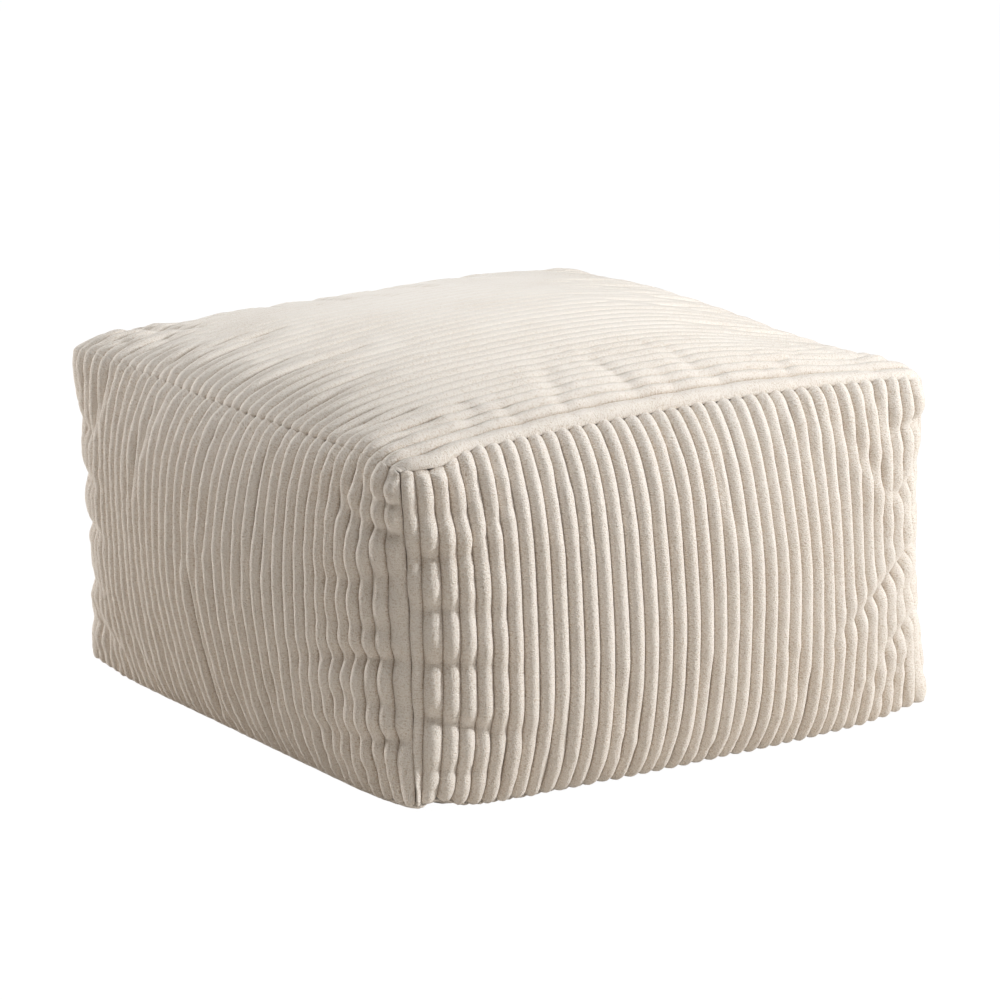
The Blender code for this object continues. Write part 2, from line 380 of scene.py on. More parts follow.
def crease_relief(creases, u, v, size):
    """How far the cloth stands in or out along short creases, in metres, and the share of its pinching."""
    relief, pinched = np.zeros_like(u), np.zeros_like(u)
    x, y = u * size[0], v * size[1]
    for start, end, depth, half_width, pinch in creases:
        start = np.array(start) * size
        run = np.array(end) * size - start
        share = ((x - start[0]) * run[0] + (y - start[1]) * run[1]) / (run @ run)
        share = np.clip(share, 0, 1)
        away = np.hypot(x - start[0] - share * run[0], y - start[1] - share * run[1])
        ratio = (away / half_width) ** 2
        trough = (1 - share**2) * np.exp(-ratio)
        shoulder = (1 - share**2) * np.exp(-ratio / SHOULDER_SPREAD)
        relief += depth * (SHOULDER_HEIGHT * shoulder - trough)
        pinched = np.maximum(pinched, pinch * trough)
    return relief, pinched


# %% [markdown]
# Where three seams meet, the turned-in cloth fills the corner, and the last wales end in knobs. They are
# listed one by one: a row gives a place on its panel, the reach across and up it and the height, in metres. A
# height below zero thins the wales there.

# %% Knobs
KNOBS = dict(
    left_panel=(
        ((0.972, 0.885), (0.0060, 0.0085), 0.0042),
        ((0.972, 0.790), (0.0075, 0.0042), -0.0034),
        ((0.972, 0.700), (0.0060, 0.0100), 0.0022),
        ((0.972, 0.605), (0.0070, 0.0050), -0.0030),
        ((0.920, 0.915), (0.0060, 0.0105), 0.0042),
        ((0.920, 0.800), (0.0070, 0.0046), -0.0032),
        ((0.868, 0.930), (0.0060, 0.0100), 0.0016),
    ),
    front_panel=(
        ((-0.990, 0.970), (0.0080, 0.0045), -0.0040),
        ((-0.900, 0.985), (0.0200, 0.0040), -0.0044),
        ((0.965, 0.900), (0.0070, 0.0120), 0.0030),
        ((0.965, 0.760), (0.0080, 0.0045), -0.0036),
    ),
    top_panel=(
        ((-0.900, -0.974), (0.0300, 0.0070), 0.0036),
        ((-0.990, -0.990), (0.0060, 0.0060), -0.0030),
        ((0.970, -0.960), (0.0120, 0.0100), 0.0030),
        ((0.930, -0.880), (0.0080, 0.0050), -0.0030),
    ),
)


def knob_relief(knobs, u, v, size):
    """How far the knobs stand out, in metres, and the share of the wales' height that is taken away."""
    relief, pinched = np.zeros_like(u), np.zeros_like(u)
    for place, reach, height in knobs:
        across = (u - place[0]) * size[0] / reach[0]
        along = (v - place[1]) * size[1] / reach[1]
        share = np.exp(-(across**2) - along**2)
        relief += max(height, 0) * share
        pinched = np.maximum(pinched, -height / WALE_HEIGHT * share)
    return relief, pinched


# %% [markdown]
# The upright seams away from the camera are gathered in the same way, but a fixed seed draws those
# creases, uneven in place, depth and slope. A row names the panel, its edge (-1 left, 1 right) and the seed.

# %% Gathers down the other upright seams
GATHER_PLACES = np.arange(-0.78, 0.80, 0.34)
GATHER_SCATTER = (-0.08, 0.08)
GATHER_START = 0.97
GATHER_END = (0.62, 0.80)
GATHER_SLOPE = (-0.16, 0.05)
GATHER_DEPTH = (0.0020, 0.0042)
GATHER_HALF_WIDTH = (0.0080, 0.0110)
GATHER_PINCH = 0.15
GATHERED_SEAMS = (
    ("right_panel", -1, 3),
    ("right_panel", 1, 5),
    ("back_panel", -1, 8),
    ("back_panel", 1, 11),
    ("left_panel", -1, 14),
)


def seam_gathers(side, seed):
    """Creases that run in from one upright seam of a panel."""
    draw = np.random.default_rng(seed).uniform
    rows = []
    for place in GATHER_PLACES:
        height = place + draw(*GATHER_SCATTER)
        inner = side * draw(*GATHER_END)
        slope = draw(*GATHER_SLOPE)
        depth, half_width = draw(*GATHER_DEPTH), draw(*GATHER_HALF_WIDTH)
        start, end = (GATHER_START * side, height), (inner, height + slope)
        rows.append((start, end, depth, half_width, GATHER_PINCH))
    return tuple(rows)


for name, side, seed in GATHERED_SEAMS:
    CREASES[name] = CREASES.get(name, ()) + seam_gathers(side, seed)
print("creases:", {name: len(rows) for name, rows in CREASES.items()})

# %% [markdown]
# ## The grid that a panel starts from
#
# A grid of points is laid over the panel, with its lines along the wales. Across a wale they crowd towards
# the valleys, where the pile turns down steeply, and along it towards the seams, where its end is rounded.

# %% Lines of the grid
END_REACH = 0.008
END_STEP = 0.0008
SIDE_GRID = dict(cut=0.03, per_wale=12, run_step=0.0020)
FLAT_GRIDS = dict(
    top_panel=dict(cut=0.10, per_wale=10, run_step=0.0027),
    base_panel=dict(cut=0.10, per_wale=8, run_step=0.0045),
)


def wale_columns(per_wale, cut):
    """Places across a panel, counted in wales, closer together beside each valley."""
    step = (1 - np.cos(np.pi * np.arange(per_wale) / per_wale)) / 2
    places = np.append((np.arange(WALES)[:, None] + step).ravel(), WALES)
    return np.unique(np.clip(places, cut, WALES - cut))


def run_lines(half_length, middle_step):
    """Places from -1 to 1 along the wales: fine steps at the two seams, and wider ones between them."""
    edge = np.arange(0, END_REACH, END_STEP)
    middle = np.linspace(END_REACH, 2 * half_length - END_REACH, round(2 * half_length / middle_step))
    run = np.concatenate((edge, middle, 2 * half_length - edge[::-1]))
    return run / half_length - 1


def grid_lines(name, half_length):
    """The lines of a panel's grid: those across the wales, and those along them."""
    grid = FLAT_GRIDS.get(name, SIDE_GRID)
    return wale_columns(grid["per_wale"], grid["cut"]), run_lines(half_length, grid["run_step"])


side_lines = grid_lines("front_panel", SIDE_SIZE[1])
print("lines across a side panel:", len(side_lines[0]), "and up it:", len(side_lines[1]))

# %% [markdown]
# Cloth isn't cut exactly on the wale. On the front panel the seam runs slowly off the grain, so its first
# wale is a sliver that narrows downwards. The others share what is left of the width evenly, apart from
# the small drift that a stitched and stuffed cloth always has.

# %% Where each wale lies
FIRST_WALE_SHARE = dict(front_panel=(0.30, 0.85))
WALE_DRIFT = 0.05
DRIFT_WAVES = ((1.7, 0.37), (3.1, -0.11))


def wale_place(name, wale_at, run):
    """The panel coordinate, from -1 to 1, of a place counted in wales."""
    at_base, at_top = FIRST_WALE_SHARE.get(name, (1, 1))
    first = mix(at_base, at_top, (run + 1) / 2)
    inside = np.clip(wale_at, 1, WALES - 1) - 1
    fade = np.sin(np.pi * inside / (WALES - 2)) ** 2
    slow, fast = [along * run + across * wale_at for along, across in DRIFT_WAVES]
    drift = WALE_DRIFT * fade * np.sin(slow) * np.cos(fast)
    counted = np.minimum(wale_at, 1) * first + np.maximum(wale_at - 1, 0) + drift
    cut = FLAT_GRIDS.get(name, SIDE_GRID)["cut"]
    return 2 * (counted - cut * first) / (WALES - 1 - cut + first - cut * first) - 1


# %% [markdown]
# The pile stands straight out of the cloth, except beside a seam. There it leans over the furrow and almost
# closes it, so the seam is a line and not a ditch.

# %% Which way the pile stands
LEAN_REACH = 0.0085
LEAN_AT_SEAM = 0.95
LEAN_AT_SIDE_SEAM = 0.55
LEAN_AT_FOOT = 0.35


def unit(vectors):
    return vectors / lengths(vectors)[..., None]


def normals_of(grid):
    """The direction out of a grid of points at each of them."""
    return unit(np.cross(np.gradient(grid, axis=1), np.gradient(grid, axis=0)))


def lean_over(place, half):
    """How much the pile leans towards the nearer seam: 1 or -1 on it, and 0 away from it."""
    return np.sign(place) * near((1 - abs(place)) * half, LEAN_REACH)


def growing_direction(panel, points, u, v):
    """The way the pile stands: straight out, and leaning over the seams near them."""
    to_right, upwards = unit(np.gradient(points, axis=1)), unit(np.gradient(points, axis=0))
    lean_right, lean_up = lean_over(u, panel["size"][0]), lean_over(v, panel["size"][1])
    lean_right *= LEAN_AT_SIDE_SEAM if panel["wales_cross"] == "u" else LEAN_AT_SEAM
    if panel["name"] not in FLAT_PANELS:
        lean_up = np.where(v < 0, LEAN_AT_FOOT / LEAN_AT_SEAM, 1) * lean_up
    leaning = lean_right[..., None] * to_right
    return unit(normals_of(points) + leaning + LEAN_AT_SEAM * lean_up[..., None] * upwards)


# %% [markdown]
# The creases, a faint unevenness and the knobs are added up. All but the knobs fade out at the seams, so
# that neighbouring panels meet in one line. What lies under the cloth follows it inwards only.

# %% The cloth's own relief
RELIEF_SEAM_REACH = 0.006
MOST_PINCHED = 0.85
SWELL_WAVES = (
    dict(u=6.2, v=3.4, shift=0.4, height=0.0007),
    dict(u=-3.8, v=7.2, shift=2.1, height=0.0006),
    dict(u=9.2, v=5.8, shift=4.0, height=0.0004),
)


def edge_fade(u, v, size):
    """0 on the seams and 1 inside."""
    from_side = (1 - abs(u)) * size[0]
    from_end = (1 - abs(v)) * size[1]
    return 1 - near(np.minimum(from_side, from_end), RELIEF_SEAM_REACH)


def cloth_relief(panel, u, v):
    """How far the cloth stands in or out, in metres, and the share of the wales' height that is gone."""
    name, size = panel["name"], panel["size"]
    u, v = np.clip(u, -1, 1), np.clip(v, -1, 1)
    relief, pinched = crease_relief(CREASES.get(name, ()), u, v, size)
    if name != "base_panel":
        for wave in SWELL_WAVES:
            relief += wave["height"] * np.sin(wave["u"] * u + wave["v"] * v + wave["shift"])
    knobs, thinned = knob_relief(KNOBS.get(name, ()), u, v, size)
    return relief * edge_fade(u, v, size) + knobs, np.clip(pinched + thinned, 0, MOST_PINCHED)


def inner_grid(panel, u, v, depth):
    """The form at a depth under the cloth."""
    points = panel["form"](u, v, depth)
    relief = np.minimum(cloth_relief(panel, u, v)[0], 0) + gathers_at(panel["name"], u, v)
    return points + relief[..., None] * normals_of(points)


def shaped_grid(panel, u, v):
    """The panel's form with its creases, its gathers and a faint unevenness."""
    points = panel["form"](u, v)
    relief, pinched = cloth_relief(panel, u, v)
    relief = relief + gathers_at(panel["name"], u, v)
    return points + relief[..., None] * normals_of(points), pinched


# %% [markdown]
# ## The gathers that the filling makes
#
# The bag is blown up by a cloth simulation. Its seams are held where the table of sizes puts them, and its
# cloth is cut a little too large for them, as on the real stool: shrink_min is below 0. So the cloth beside
# the seams buckles while the middle is pushed out tight.
#
# Only what the given form doesn't have is kept: the broad swelling, which is the result's own
# average, is taken out, and no point moves more than a few millimetres. All panels but the base read it.

# %% Grids of the bag
BODY_DEPTH = 0.0030
INNER_STEPS = 45
INNER_LEVELS = 27
SAME_PLACE_DIGITS = 5


def even_grid(columns, rows):
    """Places over a panel in even steps from -1 to 1."""
    return np.meshgrid(np.linspace(-1, 1, columns), np.linspace(-1, 1, rows))


def inner_places(name):
    """The places of the coarser grid that a panel's lining and the bag share."""
    return even_grid(INNER_STEPS, INNER_STEPS if name in FLAT_PANELS else INNER_LEVELS)


def numbered(first, places):
    """The numbers of a grid's points, from a first one on."""
    return first + np.arange(places.size).reshape(places.shape)


def quads_of(grid):
    """The faces between the points of a numbered grid, as four numbers each."""
    corners = grid[:-1, :-1], grid[:-1, 1:], grid[1:, 1:], grid[1:, :-1]
    return np.stack(corners, axis=-1).reshape(-1, 4)


def mesh_of(name, points, faces):
    mesh = bpy.data.meshes.new(name)
    mesh.from_pydata(points.tolist(), [], faces)
    mesh.shade_smooth()
    return mesh


def border_of(grid):
    """The four edges of a grid, as chains that follow each other round it."""
    return grid[0], grid[:, -1], grid[-1, ::-1], grid[::-1, 0]


def bag_of_grids():
    """The bag as one closed mesh, its grids joined along the seams, and each panel's numbered grid."""
    points, grids, start = [], {}, 0
    for name, panel in PANELS.items():
        u, v = inner_places(name)
        points.append(inner_grid(panel, u / SEAM_SHARE, v / SEAM_SHARE, BODY_DEPTH).reshape(-1, 3))
        grids[name] = numbered(start, u)
        start += u.size
    every = np.concatenate(points)
    rounded = np.round(every, SAME_PLACE_DIGITS)
    _, first, shared = np.unique(rounded, axis=0, return_index=True, return_inverse=True)
    grids = {name: shared.ravel()[grid] for name, grid in grids.items()}
    faces = np.concatenate([quads_of(grid) for grid in grids.values()])
    return mesh_of("bag", every[first], faces.tolist()), grids


# %% Blowing the bag up
GATHERS = {}
SIM_FRAMES = 20
SIM_SETTINGS = dict(
    quality=5,
    use_pressure=True,
    uniform_pressure_force=4,
    shrink_min=-0.030,
    vertex_group_mass="seams",
)
SIM_STEPS_BLURRED = 4
GATHER_SHARE = 0.7
GATHER_LIMIT = 0.0022


def read_grid(grid, u, v):
    """Reads a grid over the panel at places between its points."""
    rows, columns = grid.shape
    x = np.clip((u + 1) / 2 * (columns - 1), 0, columns - 1.001)
    y = np.clip((v + 1) / 2 * (rows - 1), 0, rows - 1.001)
    left, below = x.astype(int), y.astype(int)
    along, up = x - left, y - below
    lower = mix(grid[below, left], grid[below, left + 1], along)
    upper = mix(grid[below + 1, left], grid[below + 1, left + 1], along)
    return mix(lower, upper, up)


def gathers_at(name, u, v):
    return read_grid(GATHERS[name], u, v) if name in GATHERS else np.zeros_like(u)


def averaged(grid, steps):
    """Each value's average with its neighbours, taken several times."""
    for _ in range(steps):
        wide = np.pad(grid, 1, mode="edge")
        below, above, left, right = wide[:-2, 1:-1], wide[2:, 1:-1], wide[1:-1, :-2], wide[1:-1, 2:]
        grid = (2 * grid + below + above + left + right) / 6
    return grid


def blown_up(mesh, seam_points):
    """Where a cloth simulation puts the points of the bag."""
    bag = put_in_scene("bag_to_blow_up", mesh)
    bag.vertex_groups.new(name="seams").add(seam_points.tolist(), 1, "REPLACE")
    cloth = bag.modifiers.new("cloth", "CLOTH")
    set_up(cloth.settings, SIM_SETTINGS)
    cloth.settings.effector_weights.gravity = 0
    cloth.collision_settings.use_collision = False
    cloth.point_cache.frame_end = SIM_FRAMES
    for moment in range(1, SIM_FRAMES + 1):
        bpy.context.scene.frame_set(moment)
    places = places_of(bag.evaluated_get(bpy.context.evaluated_depsgraph_get()).data)
    bpy.context.scene.frame_set(1)
    bpy.data.objects.remove(bag)
    return places


def places_of(mesh):
    places = np.zeros(3 * len(mesh.vertices))
    mesh.vertices.foreach_get("co", places)
    return places.reshape(-1, 3)


def gather(start, blown, size):
    """What the simulation adds to one panel's grid, without its broad swelling and fading at the seams."""
    out = ((blown - start) * normals_of(start)).sum(axis=-1)
    fine = out - averaged(out, SIM_STEPS_BLURRED)
    u, v = even_grid(*fine.T.shape)
    return np.clip(GATHER_SHARE * fine, -GATHER_LIMIT, GATHER_LIMIT) * edge_fade(u, v, size)


bag, grids = bag_of_grids()
seam_points = np.unique(np.concatenate([np.concatenate(border_of(grid)) for grid in grids.values()]))
started = places_of(bag)
blown = blown_up(bag, seam_points)
for name, grid in grids.items():
    if name != "base_panel":
        GATHERS[name] = gather(started[grid], blown[grid], PANELS[name]["size"])
        print(name, "gathers up to", round(1000 * float(abs(GATHERS[name]).max()), 2), "mm")


# %% [markdown]
# ## Where the wales have suffered
#
# Under the stool the wales are pressed flat, and only their valleys show. On the crown, where feet rest,
# they are worn low and their pile is smoother. Two functions say how much, from 0 to 1.

# %% Where the wales stand lower
CROWN_WEAR = 0.74
CROWN_WEAR_PLACE = (0.10, 0.38)
CROWN_WEAR_REACH = 0.95
PILE_WEAR = 0.75
STANDING_RIM = 0.02
PRESSING_REACH = 0.14


def pressed_share(panel, u, v):
    """1 where the base lies on the floor, 0 elsewhere."""
    if panel["name"] != "base_panel":
        return np.zeros_like(u)
    from_rim = 1 - np.maximum(abs(u), abs(v))
    return np.clip((from_rim - STANDING_RIM) / PRESSING_REACH, 0, 1)


def worn_share(panel, u, v):
    """1 where feet have worn the crown most, 0 elsewhere."""
    if panel["name"] != "top_panel":
        return np.zeros_like(u)
    return near(np.hypot(u - CROWN_WEAR_PLACE[0], v - CROWN_WEAR_PLACE[1]), CROWN_WEAR_REACH)


# %% [markdown]
# ## A closed sheet of cloth
#
# The face alone would be a skin without thickness, so each panel is closed like its solid: the fine face, a
# coarse lining side just under it, and a rim that joins the two round the border. What the later steps
# need, such as the count of wales, is stored on the points as attributes.

# %% Face, lining and rim
END_SEED = 40
END_UNEVENNESS = 0.0007
VARIATION_SEED = 90
WALE_VARIATION = 0.07
FOOT_TAPER = 0.5
ROW_SLANT = 0.25


def end_jitter(name, wale_at, run):
    """How far from the seam a wale ends, in metres, a little different for each wale and each seam."""
    draw = np.random.default_rng(END_SEED + len(name))
    short = draw.uniform(0, END_UNEVENNESS, (2, WALES + 1))
    return short[(run > 0).astype(int), np.floor(wale_at).astype(int)]


def wale_variation(name, wale_at):
    """No two wales stand equally high."""
    draw = np.random.default_rng(VARIATION_SEED + len(name))
    heights = draw.uniform(1 - WALE_VARIATION, 1 + WALE_VARIATION, WALES + 1)
    return heights[np.floor(wale_at).astype(int)]


def rim_between(outer, inner):
    """Triangles between two chains of points that have different steps."""
    faces, here, there = [], 0, 0
    while here < len(outer) - 1 or there < len(inner) - 1:
        first = outer[here], inner[there]
        if (here + 1) / (len(outer) - 1) <= (there + 1) / (len(inner) - 1):
            here += 1
            faces.append((*first, outer[here]))
        else:
            there += 1
            faces.append((*first, inner[there]))
    return faces


def store(mesh, **grids):
    """Stores numbers or vectors on the points of the face, and zeros on those of the lining."""
    for name, grid in grids.items():
        kind, key, width = ("FLOAT_VECTOR", "vector", 3) if grid.ndim == 3 else ("FLOAT", "value", 1)
        values = np.zeros(len(mesh.vertices) * width, dtype=np.float32)
        values[:grid.size] = grid.ravel()
        mesh.attributes.new(name, kind, "POINT").data.foreach_set(key, values)


def panel_mesh(panel):
    """The closed sheet of one panel, with smooth valleys and no wales yet."""
    name, crosses_u = panel["name"], panel["wales_cross"] == "u"
    half_width, half_run = panel["size"] if crosses_u else reversed(panel["size"])
    lines = grid_lines(name, half_run)
    wale_grid, run_grid = np.meshgrid(*lines, indexing="xy" if crosses_u else "ij")
    place = wale_place(name, wale_grid, run_grid)
    u, v = (place, run_grid) if crosses_u else (run_grid, place)
    face, pinched = shaped_grid(panel, u, v)
    pile = growing_direction(panel, face, u, v)
    lining_u, lining_v = inner_places(name)
    lining = inner_grid(panel, lining_u, lining_v, CLOTH_GROUND)
    outside, inside = numbered(0, u), numbered(u.size, lining_u)
    faces = quads_of(outside).tolist() + quads_of(inside)[:, ::-1].tolist()
    for outer, inner in zip(border_of(outside), border_of(inside)):
        faces += rim_between(outer.tolist(), inner.tolist())
    mesh = mesh_of(name + "_cloth", np.concatenate((face.reshape(-1, 3), lining.reshape(-1, 3))), faces)
    from_end = (1 - abs(run_grid)) * half_run - end_jitter(name, wale_grid, run_grid)
    if name not in FLAT_PANELS:
        from_end = from_end * np.where(run_grid < 0, FOOT_TAPER, 1)
    across_metres = place * half_width
    along_metres = run_grid * half_run + ROW_SLANT * across_metres
    cloth_place = points_of(across_metres, along_metres, list(PANELS).index(name))
    worn, pressed = worn_share(panel, u, v), pressed_share(panel, u, v)
    unworn = (1 - CROWN_WEAR * worn) * (1 - pressed)
    store(
        mesh,
        wale_at=wale_grid,
        from_end=from_end,
        on_face=unworn * (1 - pinched) * wale_variation(name, wale_grid),
        pile_left=1 - PILE_WEAR * worn,
        pressed=pressed,
        cloth_place=cloth_place,
        pile_direction=pile,
    )
    return mesh


# %% [markdown]
# ## Raising the wales with Geometry Nodes
#
# A wale is the same rounded rib over and over, so a rule makes it: from the count of wales comes the place
# within one wale, from that a rounded height, and the point moves out by that height. Ribs could also be
# modelled one by one, but then every change of their width would be work for each of them.
#
# The tree's inputs are the sizes of one wale. The rounding at its end lets it dive into the seam, and the
# unevenness keeps the pile from looking moulded.

# %% Small helpers for node trees
def plug(tree, socket, value):
    """Gives an input its value: a number, a vector or the socket that feeds it."""
    if isinstance(value, bpy.types.NodeSocket):
        tree.links.new(value, socket)
    else:
        socket.default_value = value


def feed(tree, node, **values):
    """Gives a node's inputs their values by name. An underscore stands for a space."""
    for key, value in values.items():
        plug(tree, node.inputs[key.replace("_", " ")], value)


def add_node(tree, kind, settings=None, **values):
    node = tree.nodes.new(kind)
    set_up(node, settings or {})
    feed(tree, node, **values)
    return node


def node_of(tree, kind):
    """The one node of its kind that a new material or world starts with."""
    return next(node for node in tree.nodes if node.type == kind)


def calculate(tree, operation, *values, kind="ShaderNodeMath", **settings):
    """One step of arithmetic. Returns the socket with its result."""
    node = add_node(tree, kind, dict(operation=operation, **settings))
    for socket, value in zip(node.inputs, values):
        plug(tree, socket, value)
    return node.outputs[0]


def add_socket(tree, name, kind, value=None, in_out="INPUT"):
    socket = tree.interface.new_socket(name, in_out=in_out, socket_type="NodeSocket" + kind)
    if value is not None:
        socket.default_value = value
    return socket.identifier


def put_out(tree, *values):
    result = tree.nodes.new("NodeGroupOutput")
    for socket, value in zip(result.inputs, values):
        tree.links.new(value, socket)


# %% The tree that raises the wales
WALE_SIZES = {
    "Wale Height": WALE_HEIGHT,
    "Valley Depth": 0.0003,
    "Roundness": 1.65,
    "Flank": 0.68,
    "End Length": 0.0042,
    "End Cut": 0.0017,
    "Pressed Valley": 0.0009,
    "Unevenness": 0.16,
    "Uneven Scale": 90.0,
    "Seed": 0.0,
}
LOWEST_PLACE = (-10.0, -10.0, 0.0)


def read_attribute(tree, name, kind="FLOAT"):
    return add_node(tree, "GeometryNodeInputNamedAttribute", dict(data_type=kind), Name=name).outputs[0]


def wale_tree():
    """The tree, and the identifiers of the inputs that a panel may set, by name."""
    tree = bpy.data.node_groups.new("raise_wales", "GeometryNodeTree")
    add_socket(tree, "Panel", "Geometry")
    keys = {name: add_socket(tree, name, "Float", value) for name, value in WALE_SIZES.items()}
    keys["Cloth"] = add_socket(tree, "Cloth", "Material")
    add_socket(tree, "Raised Panel", "Geometry", in_out="OUTPUT")
    given = tree.nodes.new("NodeGroupInput").outputs
    step = partial(calculate, tree)
    vector_step = partial(calculate, tree, kind="ShaderNodeVectorMath")

    within = step("FRACT", read_attribute(tree, "wale_at"))
    from_crest = step("ABSOLUTE", step("MULTIPLY_ADD", within, 2.0, -1.0))
    dropped = step("POWER", from_crest, given["Roundness"])
    rounded = step("POWER", step("SUBTRACT", 1.0, dropped, use_clamp=True), given["Flank"])

    tucked = step("ADD", read_attribute(tree, "from_end"), given["End Cut"])
    end_share = step("DIVIDE", tucked, given["End Length"], use_clamp=True)
    end_left = step("SUBTRACT", 1.0, end_share)
    end_drop = step("MULTIPLY", end_left, end_left)
    end_round = step("SQRT", step("SUBTRACT", 1.0, end_drop, use_clamp=True))

    place = add_node(tree, "GeometryNodeInputPosition").outputs[0]
    noise = add_node(
        tree,
        "ShaderNodeTexNoise",
        dict(noise_dimensions="4D"),
        Vector=place,
        W=given["Seed"],
        Scale=given["Uneven Scale"],
        Detail=3.0,
    )
    off_middle = step("MULTIPLY_ADD", noise.outputs[0], 2.0, -1.0)
    uneven = step("MULTIPLY_ADD", off_middle, given["Unevenness"], 1.0)

    stand = step("MULTIPLY", end_round, read_attribute(tree, "on_face"))
    crest = step("MULTIPLY", step("MULTIPLY", rounded, given["Wale Height"]), uneven)
    height = step("MULTIPLY", stand, step("SUBTRACT", crest, given["Valley Depth"]))
    valley = step("MULTIPLY", given["Pressed Valley"], read_attribute(tree, "pressed"))
    sunk = step("MULTIPLY", valley, step("SUBTRACT", 1.0, rounded))
    total = step("SUBTRACT", height, sunk)
    pile = read_attribute(tree, "pile_direction", "FLOAT_VECTOR")
    reached = vector_step("ADD", place, vector_step("MULTIPLY", pile, total))
    above_floor = vector_step("MAXIMUM", reached, LOWEST_PLACE)

    kept = add_node(
        tree,
        "GeometryNodeStoreNamedAttribute",
        dict(data_type="FLOAT", domain="POINT"),
        Geometry=given["Panel"],
        Name="wale_rise",
        Value=rounded,
    )
    moved = add_node(tree, "GeometryNodeSetPosition", Geometry=kept.outputs[0], Position=above_floor)
    real = add_node(tree, "GeometryNodeRealizeInstances", Geometry=moved.outputs[0])
    cloth = given["Cloth"]
    dressed = add_node(tree, "GeometryNodeSetMaterial", Geometry=real.outputs[0], Material=cloth)
    put_out(tree, dressed.outputs[0])
    return tree, keys


WALE_TREE, WALE_INPUTS = wale_tree()
print("raise_wales has", len(WALE_TREE.nodes), "nodes")

# %% [markdown]
# ## The pile
#
# Corduroy is a plain ground weave with tufts of cut yarn standing on it in rows. Seen close it has three
# things that a flat colour lacks: short lines of tufts across each wale, a speckle where single tufts catch
# the light, and darker valleys. The valleys' darkness is painted shade, with a painted shadow in a row of
# dots at their bottom.
#
# One shader node group makes it, for the panels and, with other values, for the plain cloth under them. It
# puts out only a colour, a height and a roughness. The shader itself stays in the material.

# %% The pile group
PILE_INPUTS = {
    "Cloth Place": "Vector",
    "Place": "Vector",
    "Rise": "Float",
    "Tip Colour": "Color",
    "Root Colour": "Color",
    "Speckle": "Float",
}
PILE_OUTPUTS = dict(Colour="Color", Height="Float", Roughness="Float")
PILE_SCALE = 1050.0
ROW_SCALE = 900.0
ROW_STRETCH = (0.50, 1.0, 1.0)
BRUSH_SCALE = 16.0
BRUSH_CONTRAST = 0.5
TUFT_ROWS = 0.4
TUFT_SPECKLE = 0.6
TUFT_MIDDLE = 0.52
TUFT_CONTRAST = 6.0
# How strongly the valleys are painted with shade.
VALLEY_RISE = (0.62, 0.02)
VALLEY_SHADE = 0.42
# Where and how strongly a painted shadow darkens the valley bottoms, evenly and in a row of dots.
SHADOW_DOT_RISE = (0.30, 0.0)
SHADOW_DOT_COLOUR = (0.16, 0.11, 0.07, 1.0)
EVEN_SHADOW_SHARE = 0.10
DOT_SHARE = 0.32
DOT_SPACING = 0.00135
HEIGHT_OF_ROWS = 0.5
HEIGHT_OF_SPECKLE = 0.6
ROUGHNESS = 0.80
ROUGHNESS_OF_TUFTS = 0.15


def mixed_colour(tree, share, first, second):
    node = add_node(tree, "ShaderNodeMix", dict(data_type="RGBA"))
    plug(tree, node.inputs[0], share)
    plug(tree, node.inputs[6], first)
    plug(tree, node.inputs[7], second)
    return node.outputs[2]


def ramp(tree, value, low, high):
    """0 below one value, 1 above the other, and smooth between them."""
    smooth = dict(interpolation_type="SMOOTHSTEP")
    return add_node(tree, "ShaderNodeMapRange", smooth, Value=value, From_Min=low, From_Max=high).outputs[0]


def noise_at(tree, place, scale, detail):
    return add_node(tree, "ShaderNodeTexNoise", Vector=place, Scale=scale, Detail=detail).outputs[0]


